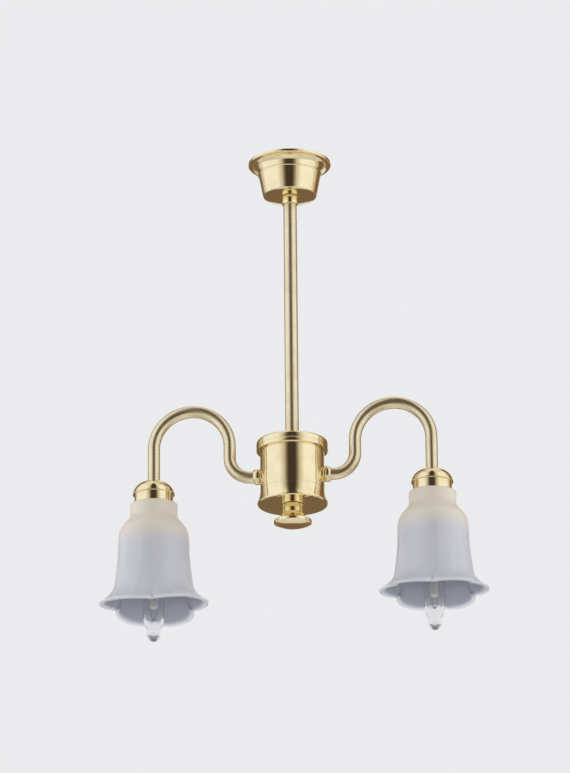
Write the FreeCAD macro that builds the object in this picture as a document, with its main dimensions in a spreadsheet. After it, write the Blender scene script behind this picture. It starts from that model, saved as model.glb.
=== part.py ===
import FreeCAD, Part
import math
import os
import re
import Sketcher

# Two-arm miniature ceiling lamp, in millimetres, +Z up.
# The origin is the centre of the face that meets the ceiling, so every place below it is
# written as a depth, and the arms reach out along +X and -X.

SIZES = {
    # clearances: a fixed fit, a fit that turns or draws out, and a face that only just touches
    "fit_gap": 0.02,
    "run_gap": 0.04,
    "face_gap": 0.02,
    # canopy: a flange with a coved underside and a tapering cup
    "flange_r": 6.2,
    "flange_edge": 0.4,
    "cove_out_r": 6.0,
    "cove_arc": 1.45,
    "cup_r": 4.7,
    "cup_start": 1.8,
    "cup_end_r": 4.05,
    "canopy_height": 5.3,
    "canopy_floor": 0.5,
    "canopy_wall": 0.42,
    "canopy_edge": 0.2,
    # adhesive pad in the mouth of the canopy
    "pad_pocket_r": 4.7,
    "pad_thick": 0.6,
    # nylon bush on top of the rod, where the leads come out
    "bush_r": 1.55,
    "bush_head": 1.6,
    "bush_spigot": 1.2,
    "lead_r": 0.2,
    "lead_offset": 0.3,
    # rod with its nut, washer and collar
    "rod_r": 1.0,
    "rod_bore_r": 0.65,
    "rod_in_finial": 1.5,
    "nut_flats": 3.2,
    "nut_thick": 0.9,
    "washer_r": 2.0,
    "washer_thick": 0.3,
    "collar_r": 1.2,
    "collar_height": 1.3,
    "slot_width": 0.9,
    "slot_length": 1.7,
    "slot_drop": 2.2,
    # turned body: cap, barrel and flared base
    "cap_depth": 44.2,
    "cap_r": 5.3,
    "cap_height": 1.8,
    "cap_crown": 0.12,
    "cap_round": 0.45,
    "cap_lip": 0.12,
    "barrel_r": 4.75,
    "barrel_wall": 0.4,
    "barrel_height": 5.9,
    "spigot_height": 0.6,
    "spigot_wall": 0.38,
    "plate_thick": 0.5,
    "base_r": 5.2,
    "base_height": 2.3,
    "base_flare": 5.2,
    "base_edge": 0.2,
    # finial screwed on the end of the rod
    "finial_stem_r": 1.63,
    "finial_stem": 1.1,
    "finial_flare": 1.45,
    "finial_disc_r": 2.8,
    "finial_disc_top": 2.3,
    "finial_edge": 0.55,
    "finial_height": 3.4,
    "finial_bore": 1.7,
    # arms: tube, round nut and ferrule
    "nut_room": 0.4,
    "arm_r": 0.9,
    "arm_bore_r": 0.6,
    "arm_start": 3.4,
    "arm_stub": 6.2,
    "elbow_r": 3.1,
    "arm_rise": 5.0,
    "arch_r": 5.65,
    "arm_fall": 5.1,
    "ferrule_r": 1.2,
    "ferrule_end_r": 1.02,
    "ferrule_length": 1.1,
    "ferrule_arc": 0.95,
    "spot_depth": 0.13,
    "arm_nut_r": 1.3,
    "arm_nut_thick": 0.6,
    # fitter: domed cap with a skirt that goes into the neck of the shade
    "fitter_crown_r": 1.25,
    "fitter_dome": 2.3,
    "brim_r": 3.1,
    "brim_drop": 1.8,
    "brim_edge": 0.25,
    "skirt_r": 2.86,
    "skirt_bore_r": 2.5,
    "skirt_drop": 5.2,
    "crown_thick": 1.3,
    # lampholder
    "sleeve_wall": 0.22,
    "sleeve_length": 6.9,
    "holder_length": 6.6,
    "chamber_r": 1.45,
    "chamber_deep": 1.0,
    "web_thick": 0.4,
    "tail_r": 0.4,
    "tail_hole_r": 0.45,
    "tail_length": 0.5,
    "contact_r": 0.75,
    "contact_thick": 0.3,
    "tab_offset": 1.1,
    "holder_bore_r": 1.6,
    "shell_wall": 0.16,
    "shell_length": 5.1,
    "shell_flange_r": 0.95,
    # bulb: screw cap, glass tube with a drawn tip, and the bead that carries the filament
    "bulb_top": 0.4,
    "bulb_plate": 0.3,
    "bulb_cap_wall": 0.2,
    "bulb_r": 1.5,
    "bulb_collar_length": 4.5,
    "bulb_glass_wall": 0.22,
    "bulb_neck": 1.6,
    "bulb_tube": 8.4,
    "bulb_taper": 1.5,
    "bulb_nib_r": 0.95,
    "bulb_nib": 1.9,
    "bead_r": 0.62,
    "bead_reach": 6.8,
    "post_offset": 0.36,
    "filament_span": 1.8,
    "filament_r": 0.08,
    # ruffled glass shade
    "shade_drop": 3.6,
    "shade_wall": 0.6,
    "neck_r": 3.5,
    "neck_length": 1.7,
    "shoulder_r": 4.75,
    "shoulder_drop": 3.6,
    "waist_r": 5.25,
    "waist_drop": 6.8,
    "hip_r": 5.6,
    "hip_drop": 11.0,
    "flare_r": 5.95,
    "flare_drop": 13.2,
    "lip_r": 6.45,
    "lip_drop": 14.87,
    "lobe_reach": 1.6,
    "lobe_drop": 0.3,
    "ripple_start": 12.4,
    # each lip rises at the sides and falls at front and back, and the left one also sags
    "right_saddle": 0.39,
    "left_saddle": 0.67,
    "left_sag": 0.5,
    # joint blocks that join the supply leads to the arm leads
    "splice_length": 2.4,
    "splice_side": 1.0,
    "splice_offset": 2.7,
    "bend_start": 0.3,
    "bend_side": 0.6,
    "entry_side": 0.9,
    "ending_rise": 0.4,
}

PLACES = {
    "cavity_floor": "canopy_height - canopy_floor",
    "washer_top": "cavity_floor - face_gap - washer_thick",
    "nut_top": "washer_top - nut_thick",
    "collar_top": "canopy_height + face_gap",
    "barrel_top": "cap_depth + cap_height",
    "base_top": "barrel_top + barrel_height",
    "base_bottom": "base_top + base_height",
    "finial_top": "base_bottom + face_gap",
    "rod_end": "base_bottom + rod_in_finial",
    "barrel_in_r": "barrel_r - barrel_wall",
    "spigot_r": "barrel_in_r - fit_gap",
    "spigot_in_r": "spigot_r - spigot_wall",
    "rod_hole_r": "rod_r + fit_gap",
    "arm_depth": "base_top - spigot_height - nut_room - arm_nut_r",
    "arch_spring": "arm_depth - arm_rise",
    "fitter_depth": "arch_spring + arm_fall",
    "shade_depth": "fitter_depth + shade_drop",
    "inner_leg": "arm_stub + elbow_r",
    "lamp_x": "inner_leg + 2 * arch_r",
    "holder_top": "fitter_depth + crown_thick",
    "sleeve_r": "skirt_bore_r - fit_gap",
    "holder_r": "sleeve_r - sleeve_wall - fit_gap",
    "web_top": "holder_top + chamber_deep",
    "shell_top": "web_top + web_thick",
    "shell_r": "holder_bore_r - fit_gap",
    "shell_in_r": "shell_r - shell_wall",
    "contact_top": "shell_top + contact_thick + face_gap",
    "bulb_cap_top": "contact_top + bulb_top",
    "bulb_cap_r": "shell_in_r - run_gap",
    "bulb_cap_in_r": "bulb_cap_r - bulb_cap_wall",
    "bulb_collar": "holder_top + sleeve_length",
    "bulb_neck_r": "bulb_cap_in_r - fit_gap",
    "bulb_cap_end": "bulb_collar + bulb_collar_length",
    "bulb_length": "bulb_neck + bulb_tube + bulb_taper + bulb_nib",
    "bead_end": "bulb_cap_end + bead_reach",
    "splice_top": "arm_depth - splice_side / 2",
}

doc = FreeCAD.newDocument("MiniatureLamp")
sheet = doc.addObject("Spreadsheet::Sheet", "Sizes")
for row, (name, size) in enumerate(list(SIZES.items()) + list(PLACES.items()), start=1):
    sheet.set("A%d" % row, name)
    sheet.set("B%d" % row, "=" + size if name in PLACES else str(size))
    sheet.setAlias("B%d" % row, name)
doc.recompute()

NODES = []


def bound(text):
    """The expression, with each size name led back to its cell in the sheet."""
    def led_back(match):
        name = match.group(0)
        return "Sizes." + name if name in SIZES or name in PLACES else name

    return re.sub(r"[a-z][a-z_]+[a-z]", led_back, text)


def size(text):
    """The present value of an expression of size names."""
    return float(sheet.evalExpression(re.sub("Sizes[.]", "", bound(text))))


def vector(x, y, z=0):
    return FreeCAD.Vector(x, y, z)


def place(node, x="0", y="0", depth="0", turn=0, tip=0):
    """Bind a node's place to the sheet: turn is about Z, and tip lays its axis along X."""
    rotation = FreeCAD.Rotation(vector(0, 0, 1), turn) * FreeCAD.Rotation(vector(0, 1, 0), tip)
    node.Placement = FreeCAD.Placement(vector(0, 0, 0), rotation)
    sign = "-1" if turn == 180 else "1"
    for axis, way, text in (("x", sign, x), ("y", sign, y), ("z", "-1", depth)):
        node.setExpression("Placement.Base." + axis, bound("%s * (%s)" % (way, text)))


def new_body(label):
    body = doc.addObject("PartDesign::Body", label)
    body.Label = label
    NODES.append(body)
    return body


def new_feature(label, shape):
    feature = doc.addObject("Part::Feature", label)
    feature.Label = label
    feature.Shape = shape
    NODES.append(feature)
    return feature


def new_sketch(body, name, plane):
    sketch = body.newObject("Sketcher::SketchObject", name)
    face = [item for item in body.Origin.OriginFeatures if item.Role == plane][0]
    sketch.AttachmentSupport = [(face, "")]
    sketch.MapMode = "FlatFace"
    return sketch


def hold(sketch, kind, first, second, text):
    """Add one dimension and bind it to the sheet."""
    index = sketch.addConstraint(Sketcher.Constraint(kind, *first, *second, size(text)))
    sketch.setExpression("Constraints[%d]" % index, bound(text))


def hold_point(sketch, corner, across, down):
    """Bind a corner to its distance across and its depth below the sketch origin."""
    if across == "0":
        sketch.addConstraint(Sketcher.Constraint("PointOnObject", *corner, -2))
    else:
        hold(sketch, "DistanceX", (-1, 1), corner, across)
    if down == "0":
        sketch.addConstraint(Sketcher.Constraint("PointOnObject", *corner, -1))
    else:
        hold(sketch, "DistanceY", (-1, 1), corner, "-1 * (" + down + ")")


def arc_between(start, end, radius, turn):
    """Arc of less than a half circle that leaves start to the left (turn 1) or right (-1)."""
    half = (end - start) * 0.5
    rise = math.sqrt(max(radius ** 2 - half.Length ** 2, 0))
    centre = start + half + vector(-half.y, half.x) * (turn * rise / half.Length)
    first, last = (start, end) if turn > 0 else (end, start)
    angles = [math.atan2(point.y - centre.y, point.x - centre.x) for point in (first, last)]
    return Part.ArcOfCircle(Part.Circle(centre, vector(0, 0, 1), radius), angles[0], angles[1])


def draw(sketch, corners, closed=True):
    """Draw lines and arcs through (across, down) corners, all bound to the sheet.

    A third entry makes the next edge an arc: its radius, and 1 or -1 for its turn.
    """
    points = [vector(size(corner[0]), -size(corner[1])) for corner in corners]
    count = len(corners) if closed else len(corners) - 1
    ends = []
    for index in range(count):
        start = points[index]
        end = points[(index + 1) % len(points)]
        if len(corners[index]) > 2:
            radius, turn = corners[index][2:]
            edge = sketch.addGeometry(arc_between(start, end, size(radius), turn))
            hold(sketch, "Radius", (edge,), (), radius)
            ends.append(((edge, 1), (edge, 2)) if turn > 0 else ((edge, 2), (edge, 1)))
        else:
            edge = sketch.addGeometry(Part.LineSegment(start, end))
            ends.append(((edge, 1), (edge, 2)))
    for index in range(count if closed else count - 1):
        after = ends[(index + 1) % count][0]
        sketch.addConstraint(Sketcher.Constraint("Coincident", *ends[index][1], *after))
    for corner, end in zip(corners, ends):
        hold_point(sketch, end[0], corner[0], corner[1])
    if not closed:
        hold_point(sketch, ends[-1][1], corners[-1][0], corners[-1][1])


def draw_circle(sketch, across, down, radius):
    circle = sketch.addGeometry(Part.Circle(vector(size(across), -size(down)), vector(0, 0, 1), size(radius)))
    hold_point(sketch, (circle, 3), across, down)
    hold(sketch, "Radius", (circle,), (), radius)


def turned(label, outline):
    """A body turned about its own Z axis from an outline of (radius, depth) corners."""
    body = new_body(label)
    sketch = new_sketch(body, label + "_outline", "XZ_Plane")
    draw(sketch, outline)
    feature = body.newObject("PartDesign::Revolution", label + "_turned")
    feature.Profile = sketch
    feature.ReferenceAxis = (sketch, ["V_Axis"])
    feature.Angle = 360
    return body


def cut_through(body, sketch, outward=False):
    """Cut the sketch right through, or only on the side its plane's normal points to."""
    pocket = body.newObject("PartDesign::Pocket", sketch.Name + "_cut")
    pocket.Profile = sketch
    pocket.Type = "ThroughAll"
    if outward:
        pocket.Reversed = True
    else:
        pocket.Midplane = True


def padded(label, outline, thick, plane="XY_Plane"):
    """A body padded down from an outline."""
    body = new_body(label)
    sketch = new_sketch(body, label + "_outline", plane)
    draw(sketch, outline)
    pad = body.newObject("PartDesign::Pad", label + "_pad")
    pad.Profile = sketch
    pad.setExpression("Length", bound(thick))
    pad.Reversed = True
    return body


# Canopy: the cup against the ceiling, open at the top, with a hole that the rod turns in.
canopy = turned("canopy", [
    ("pad_pocket_r", "0"),
    ("flange_r", "0"),
    ("flange_r", "flange_edge"),
    ("cove_out_r", "flange_edge", "cove_arc", 1),
    ("cup_r", "cup_start"),
    ("cup_end_r", "canopy_height - canopy_edge", "canopy_edge", -1),
    ("cup_end_r - canopy_edge", "canopy_height"),
    ("rod_r + run_gap", "canopy_height"),
    ("rod_r + run_gap", "cavity_floor"),
    ("cup_end_r - canopy_wall", "cavity_floor"),
    ("cup_r - canopy_wall", "pad_thick"),
    ("pad_pocket_r", "pad_thick"),
])

# Ceiling pad: the adhesive disc that holds the canopy up.
pad = turned("ceiling_pad", [
    ("bush_r + run_gap", "0"),
    ("pad_pocket_r - fit_gap", "0"),
    ("pad_pocket_r - fit_gap", "pad_thick"),
    ("bush_r + run_gap", "pad_thick"),
])

# Lead bush: plugs the top of the rod and keeps the leads off its edge.
bush = turned("lead_bush", [
    ("0", "0"),
    ("bush_r", "0"),
    ("bush_r", "bush_head"),
    ("rod_bore_r - fit_gap", "bush_head"),
    ("rod_bore_r - fit_gap", "bush_head + bush_spigot"),
    ("0", "bush_head + bush_spigot"),
])
holes = new_sketch(bush, "lead_bush_holes", "XY_Plane")
draw_circle(holes, "0", "lead_offset", "lead_r + fit_gap")
draw_circle(holes, "0", "0 - lead_offset", "lead_r + fit_gap")
cut_through(bush, holes)

# Rod: a brass tube from inside the canopy to inside the finial, slotted in the barrel.
rod = turned("down_rod", [
    ("rod_bore_r", "0"),
    ("rod_r", "0"),
    ("rod_r", "rod_end - bush_head"),
    ("rod_bore_r", "rod_end - bush_head"),
])
place(rod, depth="bush_head")
slots = new_sketch(rod, "down_rod_slots", "XZ_Plane")
draw(slots, [
    ("0 - slot_width / 2", "cap_depth + slot_drop - bush_head"),
    ("slot_width / 2", "cap_depth + slot_drop - bush_head"),
    ("slot_width / 2", "cap_depth + slot_drop - bush_head + slot_length"),
    ("0 - slot_width / 2", "cap_depth + slot_drop - bush_head + slot_length"),
])
cut_through(rod, slots)

# Nut and washer that hold the rod up inside the canopy.
HALF = "nut_flats / 2"
SLANT = "nut_flats / 2 * tan(30)"
POINT = "nut_flats / 2 / cos(30)"
HEXAGON = [
    ("0 - " + HALF, "0 - " + SLANT),
    ("0 - " + HALF, SLANT),
    ("0", POINT),
    (HALF, SLANT),
    (HALF, "0 - " + SLANT),
    ("0", "0 - " + POINT),
]
nut = padded("rod_nut", HEXAGON, "nut_thick")
place(nut, depth="nut_top")
nut_hole = new_sketch(nut, "rod_nut_hole", "XY_Plane")
draw_circle(nut_hole, "0", "0", "rod_hole_r")
cut_through(nut, nut_hole)

washer = turned("rod_washer", [
    ("rod_hole_r", "0"),
    ("washer_r", "0"),
    ("washer_r", "washer_thick"),
    ("rod_hole_r", "washer_thick"),
])
place(washer, depth="washer_top")

# Collar on the rod under the canopy.
collar = turned("rod_collar", [
    ("rod_hole_r", "0"),
    ("collar_r", "0"),
    ("collar_r", "collar_height"),
    ("rod_hole_r", "collar_height"),
])
place(collar, depth="collar_top")

# Body cap: a slightly crowned lid with a spigot into the barrel.
cap = turned("body_cap", [
    ("rod_hole_r", "0"),
    ("cap_r - cap_round", "cap_crown", "cap_round", -1),
    ("cap_r", "cap_crown + cap_round"),
    ("cap_r", "cap_height - cap_lip"),
    ("cap_r - cap_lip", "cap_height"),
    ("spigot_r", "cap_height"),
    ("spigot_r", "cap_height + spigot_height"),
    ("spigot_in_r", "cap_height + spigot_height"),
    ("spigot_in_r", "plate_thick + cap_crown"),
    ("rod_hole_r", "plate_thick + cap_crown"),
])
place(cap, depth="cap_depth")

# Barrel: a plain tube with a spot-faced hole on each side for the arms.
barrel = turned("body_barrel", [
    ("barrel_in_r", "0"),
    ("barrel_r", "0"),
    ("barrel_r", "barrel_height"),
    ("barrel_in_r", "barrel_height"),
])
place(barrel, depth="barrel_top")
arm_holes = new_sketch(barrel, "arm_holes", "YZ_Plane")
draw_circle(arm_holes, "0", "arm_depth - barrel_top", "arm_r + fit_gap")
cut_through(barrel, arm_holes)
for index, turn in enumerate((0, 180)):
    spot = new_sketch(barrel, "spot_face_%d" % index, "YZ_Plane")
    spot.AttachmentOffset = FreeCAD.Placement(vector(0, 0, 0), FreeCAD.Rotation(vector(0, 1, 0), turn))
    way = "-1" if turn else "1"
    spot.setExpression("AttachmentOffset.Base.z", bound(way + " * (barrel_r - spot_depth)"))
    draw_circle(spot, "0", "arm_depth - barrel_top", "ferrule_r + fit_gap")
    cut_through(barrel, spot, outward=True)

# Base: a flared foot with a flat plate that the finial pulls up against.
base = turned("body_base", [
    ("spigot_in_r", "0"),
    ("spigot_r", "0"),
    ("spigot_r", "spigot_height"),
    ("barrel_r", "spigot_height", "base_flare", 1),
    ("base_r", "spigot_height + base_height - base_edge"),
    ("base_r - base_edge", "spigot_height + base_height"),
    ("rod_hole_r", "spigot_height + base_height"),
    ("rod_hole_r", "spigot_height + base_height - plate_thick"),
    ("spigot_in_r", "spigot_height + base_height - plate_thick"),
])
place(base, depth="base_top - spigot_height")

# Finial: trumpet stem and disc, bored to screw on the rod.
finial = turned("finial", [
    ("rod_r + run_gap", "0"),
    ("finial_stem_r", "0"),
    ("finial_stem_r", "finial_stem", "finial_flare", 1),
    ("finial_disc_r", "finial_disc_top"),
    ("finial_disc_r", "finial_disc_top + finial_edge"),
    ("0", "finial_height"),
    ("0", "finial_bore"),
    ("rod_r + run_gap", "finial_bore"),
])
place(finial, depth="finial_top")

# Joint blocks in the barrel, one on each side of the rod.
for name, turn in (("a", 0), ("b", 180)):
    block = padded("splice_" + name, [
        ("0 - splice_length / 2", "0 - splice_side / 2"),
        ("0 - splice_length / 2", "splice_side / 2"),
        ("splice_length / 2", "splice_side / 2"),
        ("splice_length / 2", "0 - splice_side / 2"),
    ], "splice_side")
    place(block, y="splice_offset", depth="splice_top", turn=turn)


def smooth(points, start, end):
    """A smooth curve through points, leaving and arriving along the given directions."""
    curve = Part.BSplineCurve()
    curve.interpolate(Points=[vector(*point) for point in points], InitialTangent=start, FinalTangent=end)
    return curve.toShape()


def lead(label, edges, turn=0):
    """A round insulated wire swept along its route."""
    first = edges[0]
    start = first.FirstParameter
    section = Part.Circle(first.valueAt(start), first.tangentAt(start), size("lead_r"))
    wire = Part.Wire(edges).makePipeShell([Part.Wire([section.toShape()])], True, False)
    feature = new_feature(label, wire)
    place(feature, turn=turn)


DOWN = vector(0, 0, -1)
OUTWARD = vector(1, 0, 0)

# Supply leads: down the rod, out through its slots and into the joint blocks.
for name, turn in (("a", 0), ("b", 180)):
    near = size("lead_offset")
    far = size("splice_offset")
    slot_top = size("cap_depth + slot_drop")
    block_top = size("splice_top")
    slot, start, side = size("slot_length"), size("bend_start"), size("bend_side")
    straight = Part.LineSegment(vector(0, near, 0), vector(0, near, start - slot_top)).toShape()
    bend = smooth([
        (0, near, start - slot_top),
        (0, near + side, -slot_top - slot * 0.53),
        (0, far - side, -slot_top - slot * 0.95),
        (0, far, -block_top),
    ], DOWN, DOWN)
    lead("supply_lead_" + name, [straight, bend], turn)


def arm_route(offset, end):
    """Lines and arcs along the middle of an arm, moved sideways by the offset, down to the end depth."""
    stub, elbow, leg = size("arm_stub"), size("elbow_r"), size("inner_leg")
    level, spring, arch = size("arm_depth"), size("arch_spring"), size("arch_r")

    def at(x, z):
        return vector(x, offset, z)

    half = math.sqrt(0.5)
    elbow_mid = at(stub + elbow * half, -level + elbow * (1 - half))
    return [
        Part.LineSegment(at(size("arm_start"), -level), at(stub, -level)).toShape(),
        Part.Arc(at(stub, -level), elbow_mid, at(leg, elbow - level)).toShape(),
        Part.LineSegment(at(leg, elbow - level), at(leg, -spring)).toShape(),
        Part.Arc(at(leg, -spring), at(leg + arch, arch - spring), at(leg + 2 * arch, -spring)).toShape(),
        Part.LineSegment(at(leg + 2 * arch, -spring), at(leg + 2 * arch, -end)).toShape(),
    ]


def shade_profile():
    """The outer profile of the shade between its lobes, as a curve of (radius, 0, height)."""
    points = [vector(size("neck_r"), 0, -size("neck_length") * share) for share in (0, 0.5, 1)]
    for name in ("shoulder", "waist", "hip", "flare", "lip"):
        points.append(vector(size(name + "_r"), 0, -size(name + "_drop")))
    curve = Part.BSplineCurve()
    curve.interpolate(points)
    return curve


def shade_ring(curve, parameter, inset, phase, saddle, sag):
    """A closed ring round the shade at one place on its profile, ruffled into six lobes."""
    point = curve.value(parameter)
    along = curve.tangent(parameter)[0]
    point = point + vector(along.z, 0, -along.x) * inset
    start, end = size("ripple_start"), size("lip_drop")
    depth = -curve.value(parameter).z
    ripple = (max(depth - start, 0) / (end - start)) ** 3
    spread = (depth / end) ** 4
    ring = []
    for step in range(LOBES * LOBE_STEPS):
        angle = 2 * math.pi * step / (LOBES * LOBE_STEPS)
        bulge = ripple * abs(math.sin(LOBES * angle / 2)) ** 0.65
        radius = point.x + size("lobe_reach") * bulge
        turn = angle + math.radians(phase)
        height = point.z - size("lobe_drop") * bulge + spread * (saddle * math.cos(2 * turn) - sag)
        ring.append(vector(radius * math.cos(turn), radius * math.sin(turn), height))
    loop = Part.BSplineCurve()
    loop.interpolate(Points=ring, PeriodicFlag=True)
    return Part.Wire([loop.toShape()])


def shade_solid(phase, saddle, sag):
    """Outer and inner skins, closed by a flat ring at the neck and another along the lip."""
    curve = shade_profile()
    first, last = curve.FirstParameter, curve.LastParameter
    # The rings come closer together towards the lip, where the wall flares.
    shares = [1 - (1 - step / SHADE_RINGS) ** 1.4 for step in range(SHADE_RINGS + 1)]
    places = [first + (last - first) * share for share in shares]
    skins = []
    for inset in (0, size("shade_wall")):
        rings = [shade_ring(curve, parameter, inset, phase, saddle, sag) for parameter in places]
        skins.append((rings, Part.makeLoft(rings, False, False)))
    (outer, outer_skin), (inner, inner_skin) = skins
    neck = Part.makeRuledSurface(outer[0].Edges[0], inner[0].Edges[0])
    lip = Part.makeRuledSurface(outer[-1].Edges[0], inner[-1].Edges[0])
    shell = Part.makeShell(outer_skin.Faces + inner_skin.Faces + neck.Faces + lip.Faces)
    shell.sewShape()
    solid = Part.makeSolid(shell)
    if solid.Volume < 0:
        solid.reverse()
    return solid


LOBES = 6
LOBE_STEPS = 10
SHADE_RINGS = 14
# The notches of each shade stand at their own angle, as set when the shade was cemented on.
SHADE_TURN = {"right": 32, "left": 216}

for side, turn in (("right", 0), ("left", 180)):

    # Arm: one tube, bent up at an elbow, over an arch and down to the lamp.
    arm = new_body("arm_" + side)
    spine = new_sketch(arm, "arm_%s_spine" % side, "XZ_Plane")
    draw(spine, [
        ("arm_start", "arm_depth"),
        ("arm_stub", "arm_depth", "elbow_r", 1),
        ("inner_leg", "arm_depth - elbow_r"),
        ("inner_leg", "arch_spring", "arch_r", -1),
        ("inner_leg + arch_r", "arch_spring - arch_r", "arch_r", -1),
        ("lamp_x", "arch_spring"),
        ("lamp_x", "holder_top"),
    ], closed=False)
    ring = new_sketch(arm, "arm_%s_ring" % side, "YZ_Plane")
    ring.setExpression("AttachmentOffset.Base.z", bound("arm_start"))
    draw_circle(ring, "0", "arm_depth", "arm_r")
    draw_circle(ring, "0", "arm_depth", "arm_bore_r")
    pipe = arm.newObject("PartDesign::AdditivePipe", "arm_%s_tube" % side)
    pipe.Profile = ring
    pipe.Spine = spine
    place(arm, turn=turn)

    # Ferrule outside the barrel and round nut inside it, which clamp the arm.
    ferrule = turned("arm_ferrule_" + side, [
        ("arm_r + fit_gap", "0"),
        ("ferrule_end_r", "0", "ferrule_arc", -1),
        ("ferrule_r", "ferrule_length / 2", "ferrule_arc", -1),
        ("ferrule_end_r", "ferrule_length"),
        ("arm_r + fit_gap", "ferrule_length"),
    ])
    place(ferrule, x="barrel_r - spot_depth", depth="arm_depth", turn=turn, tip=-90)
    arm_nut = turned("arm_nut_" + side, [
        ("arm_r + fit_gap", "0"),
        ("arm_nut_r", "0"),
        ("arm_nut_r", "arm_nut_thick"),
        ("arm_r + fit_gap", "arm_nut_thick"),
    ])
    nut_x = "sqrt(barrel_in_r ^ 2 - arm_nut_r ^ 2) - arm_nut_thick"
    place(arm_nut, x=nut_x, depth="arm_depth", turn=turn, tip=-90)

    # Fitter: the domed cap on the end of the arm, with the skirt the shade is cemented to.
    fitter = turned("fitter_" + side, [
        ("arm_r + fit_gap", "0"),
        ("fitter_crown_r", "0", "fitter_dome", -1),
        ("brim_r", "brim_drop"),
        ("brim_r", "brim_drop + brim_edge"),
        ("skirt_r", "brim_drop + brim_edge"),
        ("skirt_r", "skirt_drop"),
        ("skirt_bore_r", "skirt_drop"),
        ("skirt_bore_r", "crown_thick"),
        ("arm_r + fit_gap", "crown_thick"),
    ])
    place(fitter, x="lamp_x", depth="fitter_depth", turn=turn)

    # Shade: one piece of frosted glass, bell-shaped, its lip ruffled into six lobes.
    saddle = size(side + "_saddle")
    sag = size("left_sag") if side == "left" else 0
    shade = new_feature("shade_" + side, shade_solid(SHADE_TURN[side] - turn, saddle, sag))
    place(shade, x="lamp_x", depth="shade_depth", turn=turn)

    # Lampholder: brass sleeve, nylon insulator, screw shell and centre contact.
    sleeve = turned("socket_sleeve_" + side, [
        ("sleeve_r - sleeve_wall", "0"),
        ("sleeve_r", "0"),
        ("sleeve_r", "sleeve_length"),
        ("sleeve_r - sleeve_wall", "sleeve_length"),
    ])
    place(sleeve, x="lamp_x", depth="holder_top", turn=turn)
    holder = turned("lampholder_" + side, [
        ("chamber_r", "0"),
        ("holder_r", "0"),
        ("holder_r", "holder_length"),
        ("holder_bore_r", "holder_length"),
        ("holder_bore_r", "chamber_deep + web_thick"),
        ("tail_hole_r", "chamber_deep + web_thick"),
        ("tail_hole_r", "chamber_deep"),
        ("chamber_r", "chamber_deep"),
    ])
    tab_hole = new_sketch(holder, "tab_hole_" + side, "XY_Plane")
    draw_circle(tab_hole, "0", "tab_offset", "lead_r + fit_gap")
    cut_through(holder, tab_hole)
    place(holder, x="lamp_x", depth="holder_top", turn=turn)
    shell = turned("holder_shell_" + side, [
        ("shell_flange_r", "0"),
        ("shell_r", "0"),
        ("shell_r", "shell_length"),
        ("shell_in_r", "shell_length"),
        ("shell_in_r", "shell_wall"),
        ("shell_flange_r", "shell_wall"),
    ])
    place(shell, x="lamp_x", depth="shell_top", turn=turn)
    contact = turned("centre_contact_" + side, [
        ("0", "0"),
        ("tail_r", "0"),
        ("tail_r", "tail_length"),
        ("contact_r", "tail_length"),
        ("contact_r", "tail_length + contact_thick"),
        ("0", "tail_length + contact_thick"),
    ])
    place(contact, x="lamp_x", depth="shell_top - tail_length", turn=turn)

    # Bulb: solder button, screw cap, glass, bead with its two posts, and filament.
    button = turned("bulb_contact_" + side, [
        ("0", "0"),
        ("contact_r / 2", "0"),
        ("contact_r * 0.8", "bulb_top"),
        ("0", "bulb_top"),
    ])
    place(button, x="lamp_x", depth="contact_top", turn=turn)
    bulb_cap = turned("bulb_cap_" + side, [
        ("0", "0"),
        ("bulb_cap_r", "0"),
        ("bulb_cap_r", "bulb_collar - bulb_cap_top"),
        ("bulb_r", "bulb_collar - bulb_cap_top"),
        ("bulb_r", "bulb_cap_end - bulb_cap_top"),
        ("bulb_cap_in_r", "bulb_cap_end - bulb_cap_top"),
        ("bulb_cap_in_r", "bulb_plate"),
        ("0", "bulb_plate"),
    ])
    place(bulb_cap, x="lamp_x", depth="bulb_cap_top", turn=turn)
    glass = turned("bulb_glass_" + side, [
        ("bulb_neck_r - bulb_glass_wall", "0"),
        ("bulb_neck_r", "0"),
        ("bulb_neck_r", "bulb_neck"),
        ("bulb_r", "bulb_neck"),
        ("bulb_r", "bulb_neck + bulb_tube"),
        ("bulb_nib_r", "bulb_neck + bulb_tube + bulb_taper"),
        ("bulb_nib_r", "bulb_length - bulb_nib_r", "bulb_nib_r", -1),
        ("0", "bulb_length"),
        ("0", "bulb_length - bulb_nib_r"),
        ("bulb_nib_r - bulb_glass_wall", "bulb_neck + bulb_tube + bulb_taper"),
        ("bulb_r - bulb_glass_wall", "bulb_neck + bulb_tube"),
        ("bulb_r - bulb_glass_wall", "bulb_neck + bulb_glass_wall"),
        ("bulb_neck_r - bulb_glass_wall", "bulb_neck"),
    ])
    place(glass, x="lamp_x", depth="bulb_cap_end - bulb_neck", turn=turn)
    bead = turned("bulb_bead_" + side, [
        ("0", "0"),
        ("bead_r", "0"),
        ("bead_r", "bead_end - bulb_cap_top - bulb_plate - bead_r / 2", "bead_r / 2", -1),
        ("bead_r / 2", "bead_end - bulb_cap_top - bulb_plate"),
        ("0", "bead_end - bulb_cap_top - bulb_plate"),
    ])
    place(bead, x="lamp_x", depth="bulb_cap_top + bulb_plate", turn=turn)

    # Filament: a thin wire that leaves the bead, loops down and goes back into it.
    drop, reach = size("filament_span"), size("post_offset")
    loop = Part.BSplineCurve()
    loop.interpolate([
        vector(-reach / 2, 0, 0),
        vector(-reach, 0, -drop * 0.45),
        vector(-reach * 0.9, 0, -drop * 0.85),
        vector(0, 0, -drop),
        vector(reach * 0.9, 0, -drop * 0.85),
        vector(reach, 0, -drop * 0.45),
        vector(reach / 2, 0, 0),
    ])
    section = Part.Circle(loop.value(0), loop.tangent(0)[0], size("filament_r"))
    wire = Part.Wire([loop.toShape()]).makePipeShell([Part.Wire([section.toShape()])], True, False)
    filament = new_feature("filament_" + side, wire)
    place(filament, x="lamp_x", depth="bead_end", turn=turn)

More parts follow.
